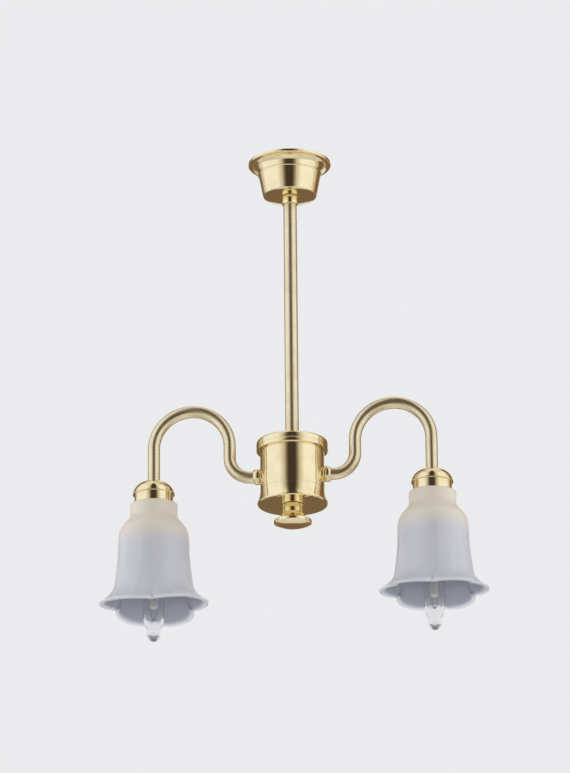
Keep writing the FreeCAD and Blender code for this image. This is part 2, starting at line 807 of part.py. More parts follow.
    # Arm leads: from the joint block, through the arm, to the centre contact or the shell.
    for name, hand in (("a", 1), ("b", -1)):
        block_x, block_y = size("splice_length") / 2, hand * size("splice_offset")
        near, level = hand * size("lead_offset") * 0.9, size("arm_depth")
        tube_x, lamp, crown = size("arm_start"), size("lamp_x"), size("holder_top - ending_rise")
        step = size("entry_side")
        entry = smooth([
            (block_x, block_y, -level),
            (block_x + step, block_y - step * hand * 0.8, -level),
            (tube_x - step * 0.85, step * hand, -level),
            (tube_x, near, -level),
        ], OUTWARD, OUTWARD)
        if name == "a":
            ending = smooth([(lamp, near, -crown), (lamp, 0, -size("shell_top - tail_length"))], DOWN, DOWN)
        else:
            tab = -size("tab_offset")
            ending = smooth([
                (lamp, near, -crown),
                (lamp, (near + tab) / 2, -size("holder_top + chamber_deep * 0.3")),
                (lamp, tab, -size("shell_top - tail_length")),
                (lamp, tab, -size("shell_top")),
            ], DOWN, DOWN)
        lead("arm_lead_%s_%s" % (name, side), [entry] + arm_route(near, crown) + [ending], turn)

doc.recompute()

# Check every piece before anything is written.
faults = []
for item in doc.Objects:
    if "Invalid" in item.State or "Error" in item.State:
        faults.append("%s: %s" % (item.Name, item.State))
for node in NODES:
    shape = node.Shape
    if shape.isNull() or not shape.isValid() or len(shape.Solids) != 1 or shape.Volume <= 0:
        faults.append("%s: shape is not one sound solid" % node.Label)
if faults:
    raise RuntimeError("; ".join(faults))

os.makedirs("parts", exist_ok=True)
for node in NODES:
    node.Shape.exportStep("parts/%s.step" % node.Label)
print("%d pieces" % len(NODES))
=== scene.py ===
import math

import bmesh
import bpy
import numpy as np
from mathutils import Matrix, Vector


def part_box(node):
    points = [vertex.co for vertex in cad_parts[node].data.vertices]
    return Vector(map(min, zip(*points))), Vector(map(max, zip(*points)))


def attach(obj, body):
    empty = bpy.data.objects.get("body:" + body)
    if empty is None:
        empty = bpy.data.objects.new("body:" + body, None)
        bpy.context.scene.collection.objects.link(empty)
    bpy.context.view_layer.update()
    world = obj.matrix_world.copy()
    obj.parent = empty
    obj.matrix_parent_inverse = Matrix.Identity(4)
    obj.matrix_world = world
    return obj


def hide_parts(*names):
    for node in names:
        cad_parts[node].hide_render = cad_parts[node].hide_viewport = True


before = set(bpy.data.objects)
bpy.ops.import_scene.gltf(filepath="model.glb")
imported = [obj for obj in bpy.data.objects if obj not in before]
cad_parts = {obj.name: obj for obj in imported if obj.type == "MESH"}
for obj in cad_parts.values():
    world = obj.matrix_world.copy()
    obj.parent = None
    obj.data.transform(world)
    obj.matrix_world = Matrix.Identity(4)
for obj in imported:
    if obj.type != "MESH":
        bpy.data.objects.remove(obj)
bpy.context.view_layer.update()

# ---------------------------------------------------------------------------------------------
# Canopy: a spun and polished brass cup that covers the wiring hole in the ceiling. Its flange
# lies against the ceiling, and its underside runs in a cove down to the tapering cup. The rod
# hangs through the hole in its floor.
# ---------------------------------------------------------------------------------------------
MM = 0.001
ON_AXIS = Vector((0, 0, 0))


def polish_group():
    """Hand-polished metal: fine lathe lines, cloudy tarnish and a few darker specks."""
    group = bpy.data.node_groups.new("hand_polish", "ShaderNodeTree")
    face = group.interface
    for name, kind, start in (
        ("Metal", "NodeSocketColor", (0.8, 0.56, 0.26, 1)),
        ("Tarnish", "NodeSocketColor", (0.5, 0.3, 0.12, 1)),
        ("Tarnish Amount", "NodeSocketFloat", 0.35),
        ("Least Roughness", "NodeSocketFloat", 0.1),
        ("Line Depth", "NodeSocketFloat", 0.05),
    ):
        socket = face.new_socket(name, in_out="INPUT", socket_type=kind)
        socket.default_value = start
    for name, kind in (
        ("Colour", "NodeSocketColor"),
        ("Roughness", "NodeSocketFloat"),
        ("Normal", "NodeSocketVector"),
    ):
        face.new_socket(name, in_out="OUTPUT", socket_type=kind)
    nodes, links = group.nodes, group.links
    given = nodes.new("NodeGroupInput")
    made = nodes.new("NodeGroupOutput")
    place = nodes.new("ShaderNodeTexCoord")
    clouds = nodes.new("ShaderNodeTexNoise")
    clouds.inputs["Scale"].default_value = 420
    clouds.inputs["Detail"].default_value = 5
    specks = nodes.new("ShaderNodeTexNoise")
    specks.inputs["Scale"].default_value = 1500
    specks.inputs["Detail"].default_value = 3
    turned_lines = nodes.new("ShaderNodeMapping")
    turned_lines.inputs["Scale"].default_value = (200, 200, 9000)
    lines = nodes.new("ShaderNodeTexNoise")
    lines.inputs["Scale"].default_value = 1
    lines.inputs["Detail"].default_value = 4
    patches = nodes.new("ShaderNodeMapRange")
    patches.inputs["From Min"].default_value = 0.42
    patches.inputs["From Max"].default_value = 0.72
    dots = nodes.new("ShaderNodeMapRange")
    dots.inputs["From Min"].default_value = 0.6
    dots.inputs["From Max"].default_value = 0.72
    dots.inputs["To Max"].default_value = 0.25
    both = nodes.new("ShaderNodeMath")
    both.operation = "MAXIMUM"
    amount = nodes.new("ShaderNodeMath")
    amount.operation = "MULTIPLY"
    colour = nodes.new("ShaderNodeMix")
    colour.data_type = "RGBA"
    dull = nodes.new("ShaderNodeMath")
    dull.operation = "MULTIPLY_ADD"
    # Full tarnish adds this much roughness.
    dull.inputs[1].default_value = 0.16
    bump = nodes.new("ShaderNodeBump")
    bump.inputs["Distance"].default_value = 0.00002
    for noise in (clouds, specks):
        links.new(place.outputs["Object"], noise.inputs["Vector"])
    links.new(place.outputs["Object"], turned_lines.inputs["Vector"])
    links.new(turned_lines.outputs["Vector"], lines.inputs["Vector"])
    links.new(clouds.outputs["Fac"], patches.inputs["Value"])
    links.new(specks.outputs["Fac"], dots.inputs["Value"])
    links.new(patches.outputs["Result"], both.inputs[0])
    links.new(dots.outputs["Result"], both.inputs[1])
    links.new(both.outputs[0], amount.inputs[0])
    links.new(given.outputs["Tarnish Amount"], amount.inputs[1])
    links.new(amount.outputs[0], colour.inputs["Factor"])
    links.new(given.outputs["Metal"], colour.inputs["A"])
    links.new(given.outputs["Tarnish"], colour.inputs["B"])
    links.new(amount.outputs[0], dull.inputs[0])
    links.new(given.outputs["Least Roughness"], dull.inputs[2])
    links.new(lines.outputs["Fac"], bump.inputs["Height"])
    links.new(given.outputs["Line Depth"], bump.inputs["Strength"])
    links.new(colour.outputs["Result"], made.inputs["Colour"])
    links.new(dull.outputs[0], made.inputs["Roughness"])
    links.new(bump.outputs["Normal"], made.inputs["Normal"])
    return group


HAND_POLISH = polish_group()


def metal(name, colour, tarnish, tarnish_amount, roughness, line_depth):
    """A metal finish made with the hand polish group."""
    material = bpy.data.materials.new(name)
    material.use_nodes = True
    nodes, links = material.node_tree.nodes, material.node_tree.links
    surface = nodes["Principled BSDF"]
    surface.inputs["Metallic"].default_value = 1
    polish = nodes.new("ShaderNodeGroup")
    polish.node_tree = HAND_POLISH
    polish.inputs["Metal"].default_value = (*colour, 1)
    polish.inputs["Tarnish"].default_value = (*tarnish, 1)
    polish.inputs["Tarnish Amount"].default_value = tarnish_amount
    polish.inputs["Least Roughness"].default_value = roughness
    polish.inputs["Line Depth"].default_value = line_depth
    links.new(polish.outputs["Colour"], surface.inputs["Base Color"])
    links.new(polish.outputs["Roughness"], surface.inputs["Roughness"])
    links.new(polish.outputs["Normal"], surface.inputs["Normal"])
    return material


def bowed(start, end, bow, steps):
    """Points of an arc from start to end that bows to the left of travel by bow."""
    start, end = Vector(start), Vector(end)
    chord = end - start
    side = Vector((-chord.y, chord.x)).normalized()
    half = chord.length / 2
    radius = (half * half + bow * bow) / (2 * abs(bow))
    centre = (start + end) / 2 + side * (bow - math.copysign(radius, bow))
    first = math.atan2(start.y - centre.y, start.x - centre.x)
    last = math.atan2(end.y - centre.y, end.x - centre.x)
    sweep = (last - first + math.pi) % (2 * math.pi) - math.pi
    points = []
    for step in range(steps + 1):
        angle = first + sweep * step / steps
        points.append((centre.x + radius * math.cos(angle), centre.y + radius * math.sin(angle)))
    return points


def finished(piece, material, node, body):
    """Give a finished piece its material, hang it from its body's empty and hide the CAD node it stands for.
    """
    piece.data.materials.clear()
    piece.data.materials.append(material)
    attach(piece, body)
    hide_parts(node)


def add_mesh(name, points, faces):
    """A new piece in the scene from points in metres and faces that name them by number."""
    mesh = bpy.data.meshes.new(name)
    mesh.from_pydata([tuple(point) for point in points], [], faces)
    mesh.update()
    piece = bpy.data.objects.new(name, mesh)
    bpy.context.scene.collection.objects.link(piece)
    return piece


def lathe(name, outline, centre, edge, segments=112):
    """Turn an outline of (radius, height) points in mm about an upright axis at centre.

    The outline is a closed loop round the metal, which lies on its left, and its corners are
    eased by edge mm.
    """
    same_spot, on_axis = 1e-4, 1e-6
    corner_angle, crease_angle = 0.45, 0.6
    outline = [outline[0]] + [
        point for last, point in zip(outline, outline[1:]) if math.dist(last, point) > same_spot
    ]
    tree = bmesh.new()
    rings = []
    for radius, height in outline:
        if radius < on_axis:
            rings.append([tree.verts.new((0, 0, height * MM))])
            continue
        ring = []
        for step in range(segments):
            angle = 2 * math.pi * step / segments
            across, along = radius * MM * math.cos(angle), radius * MM * math.sin(angle)
            ring.append(tree.verts.new((across, along, height * MM)))
        rings.append(ring)
    for upper, lower in zip(rings, rings[1:] + rings[:1]):
        for step in range(segments):
            after = (step + 1) % segments
            corners = [upper[step % len(upper)], upper[after % len(upper)]]
            corners += [lower[after % len(lower)], lower[step % len(lower)]]
            kept = list(dict.fromkeys(corners))
            if len(kept) > 2:
                tree.faces.new(kept)
    bmesh.ops.recalc_face_normals(tree, faces=tree.faces)
    between_faces = [seam for seam in tree.edges if len(seam.link_faces) == 2]
    sharp = [seam for seam in between_faces if seam.calc_face_angle() > corner_angle]
    bmesh.ops.bevel(
        tree, geom=sharp, offset=edge * MM, segments=3, affect="EDGES", profile=0.5, clamp_overlap=True,
    )
    for face in tree.faces:
        face.smooth = True
    for seam in tree.edges:
        seam.smooth = len(seam.link_faces) != 2 or seam.calc_face_angle() < crease_angle
    bmesh.ops.translate(tree, verts=tree.verts, vec=centre)
    mesh = bpy.data.meshes.new(name)
    tree.to_mesh(mesh)
    tree.free()
    piece = bpy.data.objects.new(name, mesh)
    bpy.context.scene.collection.objects.link(piece)
    return piece


BRASS = metal(
    "polished_brass", colour=(0.91, 0.77, 0.46), tarnish=(0.7, 0.51, 0.25),
    tarnish_amount=0.3, roughness=0.07, line_depth=0.03,
)

canopy_low, canopy_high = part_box("canopy")
flange, cup_bottom = canopy_high.x / MM, canopy_low.z / MM
cup_floor = cup_bottom + 0.5
pad_seat, pad_depth, rod_hole = 4.7, 0.6, 1.04
cavity = [(pad_seat, 0), (pad_seat, -pad_depth), (4.28, -pad_depth)]
cavity += [(3.63, cup_floor), (rod_hole, cup_floor), (rod_hole, cup_bottom)]
cup = [(3.85, cup_bottom), (3.99, cup_bottom + 0.06), (4.05, cup_bottom + 0.2)]
bead = [(4.62, -2.12), (4.68, -1.98), (4.74, -1.94), (4.78, -1.86), (4.74, -1.78)]
cove = bowed((4.72, -1.76), (6.0, -0.42), 0.42, 14)
brim = [(6.08, -0.4), (flange, -0.34), (flange, -0.02), (flange - 0.03, 0)]
canopy = lathe("canopy_cup", cavity + cup + bead + cove + brim, ON_AXIS, edge=0.04)
finished(canopy, BRASS, "canopy", "ceiling_cup")

# ---------------------------------------------------------------------------------------------
# Ceiling pad and lead bush: a disc of pale adhesive foam fills the mouth of the canopy, and a
# moulded nylon bush in its middle lets the two covered leads out. Only the top shows them.
# The leads run down the rod to two joint blocks in the body.
# ---------------------------------------------------------------------------------------------


def soft_material(name, colour, other, scale, roughness, depth):
    """Foam, nylon or covered wire: two near shades in a fine mottle with a shallow grain."""
    material = bpy.data.materials.new(name)
    material.use_nodes = True
    nodes, links = material.node_tree.nodes, material.node_tree.links
    surface = nodes["Principled BSDF"]
    surface.inputs["Roughness"].default_value = roughness
    place = nodes.new("ShaderNodeTexCoord")
    mottle = nodes.new("ShaderNodeTexNoise")
    mottle.inputs["Scale"].default_value = scale
    mottle.inputs["Detail"].default_value = 6
    blend = nodes.new("ShaderNodeMix")
    blend.data_type = "RGBA"
    blend.inputs["A"].default_value = (*colour, 1)
    blend.inputs["B"].default_value = (*other, 1)
    grain = nodes.new("ShaderNodeBump")
    grain.inputs["Distance"].default_value = depth
    grain.inputs["Strength"].default_value = 0.6
    links.new(place.outputs["Object"], mottle.inputs["Vector"])
    links.new(mottle.outputs["Fac"], blend.inputs["Factor"])
    links.new(mottle.outputs["Fac"], grain.inputs["Height"])
    links.new(blend.outputs["Result"], surface.inputs["Base Color"])
    links.new(grain.outputs["Normal"], surface.inputs["Normal"])
    return material


def dress(node, material):
    """Give a CAD node that is shown as it is its material."""
    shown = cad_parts[node]
    shown.data.materials.clear()
    shown.data.materials.append(material)


FOAM = soft_material("adhesive_foam", (0.8, 0.79, 0.74), (0.66, 0.65, 0.6), 3200, 0.85, 0.00006)
NYLON = soft_material("moulded_nylon", (0.86, 0.82, 0.7), (0.78, 0.73, 0.6), 1500, 0.45, 0.00001)
COVERING = soft_material("lead_covering", (0.82, 0.81, 0.76), (0.7, 0.69, 0.64), 2500, 0.5, 0.00001)
dress("ceiling_pad", FOAM)
dress("lead_bush", NYLON)
for node in ("supply_lead_a", "supply_lead_b", "splice_a", "splice_b"):
    dress(node, COVERING)

# ---------------------------------------------------------------------------------------------
# Rod: drawn brass tube, left duller than the turned pieces, with a small collar under the
# canopy. It turns in the canopy, hung from a nut and washer inside the cup, and carries
# everything below.
# ---------------------------------------------------------------------------------------------
TUBE_BRASS = metal(
    "drawn_brass", colour=(0.84, 0.72, 0.47), tarnish=(0.62, 0.46, 0.25),
    tarnish_amount=0.3, roughness=0.27, line_depth=0.03,
)


def sleeve(name, node, bore, edge):
    """A plain round tube as long and as wide as its CAD node, with a bore of the given radius."""
    low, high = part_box(node)
    radius, top, bottom = high.x / MM, high.z / MM, low.z / MM
    return lathe(name, [(bore, top), (bore, bottom), (radius, bottom), (radius, top)], ON_AXIS, edge=edge)


ROD_BORE = 0.65
ROD_SEAT = 1.02
rod = sleeve("down_rod_tube", "down_rod", ROD_BORE, edge=0.05)
finished(rod, TUBE_BRASS, "down_rod", "lamp")
collar = sleeve("rod_collar_ring", "rod_collar", ROD_SEAT, edge=0.12)
finished(collar, BRASS, "rod_collar", "lamp")
for node in ("rod_nut", "rod_washer"):
    dress(node, BRASS)

# ---------------------------------------------------------------------------------------------
# Body: a drum turned in three brass pieces, with a crowned cap, a plain barrel and a flared
# base with a mirror-flat underside. The wiring joints are inside it.
# ---------------------------------------------------------------------------------------------
SPIGOT_BORE, SPIGOT = 3.95, 4.33
barrel_low, barrel_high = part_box("body_barrel")
barrel_radius, barrel_top, barrel_bottom = barrel_high.y / MM, barrel_high.z / MM, barrel_low.z / MM

cap_low, cap_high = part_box("body_cap")
cap_radius, cap_top, spigot_end = cap_high.x / MM, cap_high.z / MM, cap_low.z / MM
cap_ceiling = cap_top - 0.62
hollow = [(ROD_SEAT, cap_top), (ROD_SEAT, cap_ceiling)]
hollow += [(SPIGOT_BORE, cap_ceiling), (SPIGOT_BORE, spigot_end)]
spigot = [(SPIGOT, spigot_end), (SPIGOT, barrel_top)]
groove = cap_radius - 0.05
rim = [(cap_radius - 0.12, barrel_top), (cap_radius, barrel_top + 0.12), (cap_radius, barrel_top + 0.55)]
rim += [(groove, barrel_top + 0.6), (groove, barrel_top + 0.68), (cap_radius, barrel_top + 0.73)]
crown = bowed((cap_radius, cap_top - 0.57), (cap_radius - 0.45, cap_top - 0.12), -0.13, 8)
cap = lathe("body_cap_lid", hollow + spigot + rim + crown, ON_AXIS, edge=0.03)
finished(cap, BRASS, "body_cap", "lamp")

dress("body_barrel", BRASS)

base_low, base_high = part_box("body_base")
base_radius, spigot_end, base_bottom = base_high.x / MM, base_high.z / MM, base_low.z / MM
base_floor = base_bottom + 0.5
hollow = [(SPIGOT_BORE, spigot_end), (SPIGOT_BORE, base_floor)]
hollow += [(ROD_SEAT, base_floor), (ROD_SEAT, base_bottom)]
foot = [(base_radius - 0.14, base_bottom)]
foot += [(base_radius, base_bottom + 0.12), (base_radius, base_bottom + 0.24)]
flare = bowed((base_radius - 0.02, base_bottom + 0.3), (barrel_radius, barrel_bottom), 0.1, 10)
spigot = [(SPIGOT, barrel_bottom), (SPIGOT, spigot_end)]
base = lathe("body_base_foot", hollow + foot + flare + spigot, ON_AXIS, edge=0.03)
finished(base, BRASS, "body_base", "lamp")

# ---------------------------------------------------------------------------------------------
# Finial: a small brass trumpet and disc that screws on the end of the rod and pulls the base
# up against the barrel.
# ---------------------------------------------------------------------------------------------
finial_low, finial_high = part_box("finial")
finial_top, finial_bottom, disc_radius = finial_high.z / MM, finial_low.z / MM, finial_high.x / MM
rod_socket, socket_end, neck_radius = 1.04, finial_top - 1.7, 1.63
disc_upper, disc_lower = finial_top - 2.45, finial_top - 2.85
socket = [(rod_socket, finial_top), (rod_socket, socket_end), (0, socket_end), (0, finial_bottom)]
button = bowed((1.2, finial_bottom + 0.1), (disc_radius, disc_lower), -0.08, 6)
trumpet = bowed((disc_radius - 0.1, disc_upper + 0.13), (neck_radius, finial_top - 1.1), 0.32, 12)
outline = socket + button + [(disc_radius, disc_upper)] + trumpet + [(neck_radius, finial_top)]
finial = lathe("finial_knob", outline, ON_AXIS, edge=0.05)
finished(finial, BRASS, "finial", "finial")

# ---------------------------------------------------------------------------------------------
# Arms: one brass tube on each side, bent up at an elbow, over an arch and down to the lamp. A
# round nut inside the barrel pulls each arm's ferrule into its spot face.
# ---------------------------------------------------------------------------------------------


def tube_tree():
    """Geometry Nodes: sweep a round section along the path that the mesh's edges make."""
    tree = bpy.data.node_groups.new("bent_tube", "GeometryNodeTree")
    face = tree.interface
    face.new_socket("Path", in_out="INPUT", socket_type="NodeSocketGeometry")
    face.new_socket("Radius", in_out="INPUT", socket_type="NodeSocketFloat")
    face.new_socket("Sides", in_out="INPUT", socket_type="NodeSocketInt")
    face.new_socket("Finish", in_out="INPUT", socket_type="NodeSocketMaterial")
    face.new_socket("Tube", in_out="OUTPUT", socket_type="NodeSocketGeometry")
    nodes, links = tree.nodes, tree.links
    given = nodes.new("NodeGroupInput")
    made = nodes.new("NodeGroupOutput")
    path = nodes.new("GeometryNodeMeshToCurve")
    section = nodes.new("GeometryNodeCurvePrimitiveCircle")
    sweep = nodes.new("GeometryNodeCurveToMesh")
    sweep.inputs["Fill Caps"].default_value = True
    smooth = nodes.new("GeometryNodeSetShadeSmooth")
    real = nodes.new("GeometryNodeRealizeInstances")
    finish = nodes.new("GeometryNodeSetMaterial")
    links.new(given.outputs["Path"], path.inputs["Mesh"])
    links.new(given.outputs["Radius"], section.inputs["Radius"])
    links.new(given.outputs["Sides"], section.inputs["Resolution"])
    links.new(path.outputs["Curve"], sweep.inputs["Curve"])
    links.new(section.outputs["Curve"], sweep.inputs["Profile Curve"])
    links.new(sweep.outputs["Mesh"], smooth.inputs["Geometry"])
    links.new(smooth.outputs["Geometry"], real.inputs["Geometry"])
    links.new(real.outputs["Geometry"], finish.inputs["Geometry"])
    links.new(given.outputs["Finish"], finish.inputs["Material"])
    links.new(finish.outputs["Geometry"], made.inputs["Tube"])
    return tree


TUBE = tube_tree()


def swept(name, points, radius, material, sides=40):
    """A tube along points, made by the node tree and turned into a plain mesh."""
    path = add_mesh(name + "_path", points, [])
    path.data.edges.add(len(points) - 1)
    ends = [end for step in range(len(points) - 1) for end in (step, step + 1)]
    path.data.edges.foreach_set("vertices", ends)
    modifier = path.modifiers.new("bent_tube", "NODES")
    modifier.node_group = TUBE
    settings = {"Radius": radius, "Sides": sides, "Finish": material}
    for item in TUBE.interface.items_tree:
        if item.in_out == "INPUT" and item.name in settings:
            modifier[item.identifier] = settings[item.name]
    graph = bpy.context.evaluated_depsgraph_get()
    mesh = bpy.data.meshes.new_from_object(path.evaluated_get(graph))
    bpy.data.objects.remove(path)
    piece = bpy.data.objects.new(name, mesh)
    bpy.context.scene.collection.objects.link(piece)
    tree = bmesh.new()
    tree.from_mesh(mesh)
    bmesh.ops.remove_doubles(tree, verts=tree.verts, dist=1e-7)
    bmesh.ops.recalc_face_normals(tree, faces=tree.faces)
    tree.to_mesh(mesh)
    tree.free()
    return piece


# The radii of the bends, measured on the middle of the tube, and how far the arch's springing
# is above the level stretch that leaves the body.
ELBOW, ARCH, ARM_RISE = 3.1 * MM, 5.65 * MM, 5.0 * MM
SIDES = {"right": 1, "left": -1}
for side, sign in SIDES.items():
    low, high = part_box("arm_" + side)
    tube_radius = high.y
    inner, outer = sorted((abs(low.x), abs(high.x)))
    lamp_x = outer - tube_radius
    leg = lamp_x - 2 * ARCH
    spring = high.z - tube_radius - ARCH
    level = spring - ARM_RISE
    route = [(inner, level), (leg - ELBOW, level)]
    for turn in np.linspace(0, math.pi / 2, 22)[1:]:
        route.append((leg - ELBOW + ELBOW * math.sin(turn), level + ELBOW * (1 - math.cos(turn))))
    for turn in np.linspace(0, math.pi, 56):
        route.append((leg + ARCH - ARCH * math.cos(turn), spring + ARCH * math.sin(turn)))
    route.append((lamp_x, low.z))
    arm = swept("arm_tube_" + side, [(sign * x, 0, z) for x, z in route], tube_radius, TUBE_BRASS)
    finished(arm, TUBE_BRASS, "arm_" + side, "lamp")
    dress("arm_ferrule_" + side, BRASS)
    dress("arm_nut_" + side, BRASS)
    for lead in ("a", "b"):
        dress("arm_lead_%s_%s" % (lead, side), COVERING)

# ---------------------------------------------------------------------------------------------
# Fitters and lampholders: a domed brass cap on the end of each arm, its skirt cemented into
# the neck of the shade. Inside are the brass sleeve, the nylon holder and the screw shell.
# ---------------------------------------------------------------------------------------------
ARM_SEAT, SKIRT_BORE, SKIRT = 0.92, 2.5, 2.86
for side in SIDES:
    low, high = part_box("fitter_" + side)
    centre = Vector(((low.x + high.x) / 2, 0, 0))
    brim, top, bottom = (high.x - low.x) / 2 / MM, high.z / MM, low.z / MM
    roof, brim_level = top - 1.3, top - 2.05
    inside = [(ARM_SEAT, top), (ARM_SEAT, roof), (SKIRT_BORE, roof), (SKIRT_BORE, bottom)]
    skirt = [(SKIRT, bottom), (SKIRT, brim_level)]
    lip = [(brim - 0.06, brim_level), (brim, brim_level + 0.07), (brim, brim_level + 0.21)]
    dome = bowed((brim - 0.03, brim_level + 0.27), (1.35, top - 0.03), -0.38, 14)
    outline = inside + skirt + lip + dome + [(1.2, top)]
    fitter = lathe("fitter_dome_" + side, outline, centre, edge=0.03)
    finished(fitter, BRASS, "fitter_" + side, "lamp")
    dress("socket_sleeve_" + side, BRASS)
    dress("lampholder_" + side, NYLON)
    dress("holder_shell_" + side, BRASS)
    dress("centre_contact_" + side, BRASS)

# ---------------------------------------------------------------------------------------------
# Shades: blown and acid-frosted glass bells. The wall swells from a straight neck to a flared
# lip that was pinched, while hot, into six ruffled lobes.
# ---------------------------------------------------------------------------------------------


def frosted_glass(top):
    """Etched glass of a shade starting at height top: streaks, grain, and a painted neck glow, inner shade
    and lip highlight.
    """
    material = bpy.data.materials.new("frosted_glass")
    material.use_nodes = True
    nodes, links = material.node_tree.nodes, material.node_tree.links
    surface = nodes["Principled BSDF"]
    surface.inputs["Transmission Weight"].default_value = 0.55
    surface.inputs["IOR"].default_value = 1.45
    place = nodes.new("ShaderNodeTexCoord")
    streaks = nodes.new("ShaderNodeMapping")
    streaks.inputs["Scale"].default_value = (900, 900, 90)
    flow = nodes.new("ShaderNodeTexNoise")
    flow.inputs["Scale"].default_value = 1
    flow.inputs["Detail"].default_value = 3
    etch = nodes.new("ShaderNodeTexNoise")
    etch.inputs["Scale"].default_value = 9000
    etch.inputs["Detail"].default_value = 2
    colour = nodes.new("ShaderNodeMix")
    colour.data_type = "RGBA"
    colour.inputs["A"].default_value = (0.68, 0.7, 0.78, 1)
    colour.inputs["B"].default_value = (0.86, 0.86, 0.89, 1)
    height = nodes.new("ShaderNodeSeparateXYZ")
    # Mask for the painted warm glow, from 7.5 mm to 3.5 mm below the neck's edge.
    neck = nodes.new("ShaderNodeMapRange")
    neck.interpolation_type = "SMOOTHSTEP"
    neck.inputs["From Min"].default_value = top - 7.5 * MM
    neck.inputs["From Max"].default_value = top - 3.5 * MM
    # Painted glow: the neck is coloured warm to stand in for the brass skirt and sleeve seen through its thin
    # wall.
    warm = nodes.new("ShaderNodeMix")
    warm.data_type = "RGBA"
    warm.inputs["B"].default_value = (1.0, 0.91, 0.76, 1)
    # Painted shade: the inner skin is coloured darker, as if shadowed inside the bell. Painted highlight: the
    # edge band of the lip is coloured paler.
    inner_side = nodes.new("ShaderNodeAttribute")
    inner_side.attribute_name = "inside"
    painted_inner_shade = nodes.new("ShaderNodeMix")
    painted_inner_shade.data_type = "RGBA"
    painted_inner_shade.inputs["B"].default_value = (0.3, 0.31, 0.37, 1)
    rim = nodes.new("ShaderNodeAttribute")
    rim.attribute_name = "rim"
    painted_rim_highlight = nodes.new("ShaderNodeMix")
    painted_rim_highlight.data_type = "RGBA"
    painted_rim_highlight.inputs["B"].default_value = (0.9, 0.92, 0.96, 1)
    links.new(inner_side.outputs["Fac"], painted_inner_shade.inputs["Factor"])
    links.new(warm.outputs["Result"], painted_inner_shade.inputs["A"])
    links.new(rim.outputs["Fac"], painted_rim_highlight.inputs["Factor"])
    links.new(painted_inner_shade.outputs["Result"], painted_rim_highlight.inputs["A"])
    links.new(place.outputs["Object"], height.inputs["Vector"])
    links.new(height.outputs["Z"], neck.inputs["Value"])
    links.new(neck.outputs["Result"], warm.inputs["Factor"])
    links.new(colour.outputs["Result"], warm.inputs["A"])
    rough = nodes.new("ShaderNodeMapRange")
    rough.inputs["To Min"].default_value = 0.3
    rough.inputs["To Max"].default_value = 0.46
    grain = nodes.new("ShaderNodeBump")
    grain.inputs["Distance"].default_value = 0.00001
    grain.inputs["Strength"].default_value = 0.5
    links.new(place.outputs["Object"], streaks.inputs["Vector"])
    links.new(streaks.outputs["Vector"], flow.inputs["Vector"])
    links.new(place.outputs["Object"], etch.inputs["Vector"])
    links.new(flow.outputs["Fac"], colour.inputs["Factor"])
    links.new(flow.outputs["Fac"], rough.inputs["Value"])
    links.new(etch.outputs["Fac"], grain.inputs["Height"])
    links.new(painted_rim_highlight.outputs["Result"], surface.inputs["Base Color"])
    links.new(rough.outputs["Result"], surface.inputs["Roughness"])
    links.new(grain.outputs["Normal"], surface.inputs["Normal"])
    return material


# The outer side of the bell as (radius, depth below the neck's edge), in mm.
BELL = [(3.5, 0), (3.5, 0.85), (3.5, 1.7), (4.75, 3.6), (5.25, 6.8), (5.6, 11.0), (5.95, 13.2), (6.45, 14.87)]
DEPTH = BELL[-1][1]
SHADE_WALL = 0.6
# The lobes start at this depth and grow with this power of the way to the lip. They stand out
# and hang lower than the notches between them, and a power under 1 makes them round and full.
LOBES, RIPPLE_START, RIPPLE_POWER = 6, 12.4, 3
LOBE_REACH, LOBE_DROP, LOBE_POWER = 1.6, 0.3, 0.65
# Each lip was pinched by hand. In degrees from +X, the direction of its first notch, and in mm,
# how far it rises at the sides and falls at front and back, and how much lower it hangs all round.
NOTCH = {"right": 32, "left": 36}
SADDLE = {"right": 0.39, "left": 0.67}
SAG = {"right": 0, "left": 0.5}
SAG_POWER = 4
# The width of the lip's band that gets a painted highlight, and how much flatter than a half circle the lip's
# rounding is.
RIM_HIGHLIGHT_WIDTH, RIM_FLATNESS = 0.25, 0.5


def spline(points, count):
    """Even points on a natural cubic curve through the given ones."""
    points = np.array(points, float)
    gaps = np.linalg.norm(np.diff(points, axis=0), axis=1)
    knots = np.concatenate([[0], np.cumsum(gaps)])
    size = len(points)
    system, right = np.eye(size), np.zeros((size, 2))
    slopes = np.diff(points, axis=0) / gaps[:, None]
    for knot in range(1, size - 1):
        before, after = gaps[knot - 1], gaps[knot]
        system[knot, knot - 1:knot + 2] = before, 2 * (before + after), after
        right[knot] = 6 * (slopes[knot] - slopes[knot - 1])
    bend = np.linalg.solve(system, right)
    made = []
    for at in np.linspace(0, knots[-1], count):
        span = min(np.searchsorted(knots, at, side="right") - 1, size - 2)
        ahead, behind, gap = knots[span + 1] - at, at - knots[span], gaps[span]
        value = (bend[span] * ahead ** 3 + bend[span + 1] * behind ** 3) / (6 * gap)
        value += (points[span] / gap - bend[span] * gap / 6) * ahead
        value += (points[span + 1] / gap - bend[span + 1] * gap / 6) * behind
        made.append(value)
    return np.array(made)


